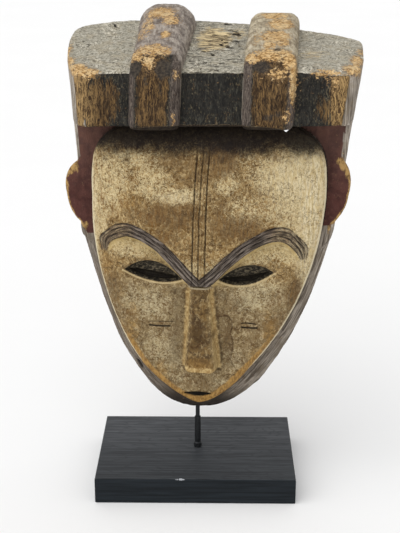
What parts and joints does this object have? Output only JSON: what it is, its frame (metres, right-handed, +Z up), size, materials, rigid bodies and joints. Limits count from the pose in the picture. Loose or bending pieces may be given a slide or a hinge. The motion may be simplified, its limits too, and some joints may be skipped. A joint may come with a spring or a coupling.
{
  "type": "african mask",
  "caption": "Carved wooden face mask with a flat, twin-crested coiffure, side ears and a long nose, held by a thin rod on a black wooden block.",
  "frame": {"origin": "middle of the stand block's underside", "axes": "+Z up, -Y the front that the face looks to, +X to the right of someone who looks at the face"},
  "size_m": [0.2533, 0.148, 0.4336],
  "materials": {
    "carved_wood": "worn kaolin, soot and red pigment over ochre wood, dry and matt",
    "stained_block": "black stain with the grain showing, satin",
    "black_steel": "black paint, satin"
  },
  "bodies": {
    "root": {"mask": "carved_wood", "stand_block": "stained_block", "stand_sleeve": "black_steel", "stand_rod": "black_steel"}
  },
  "joints": []
}
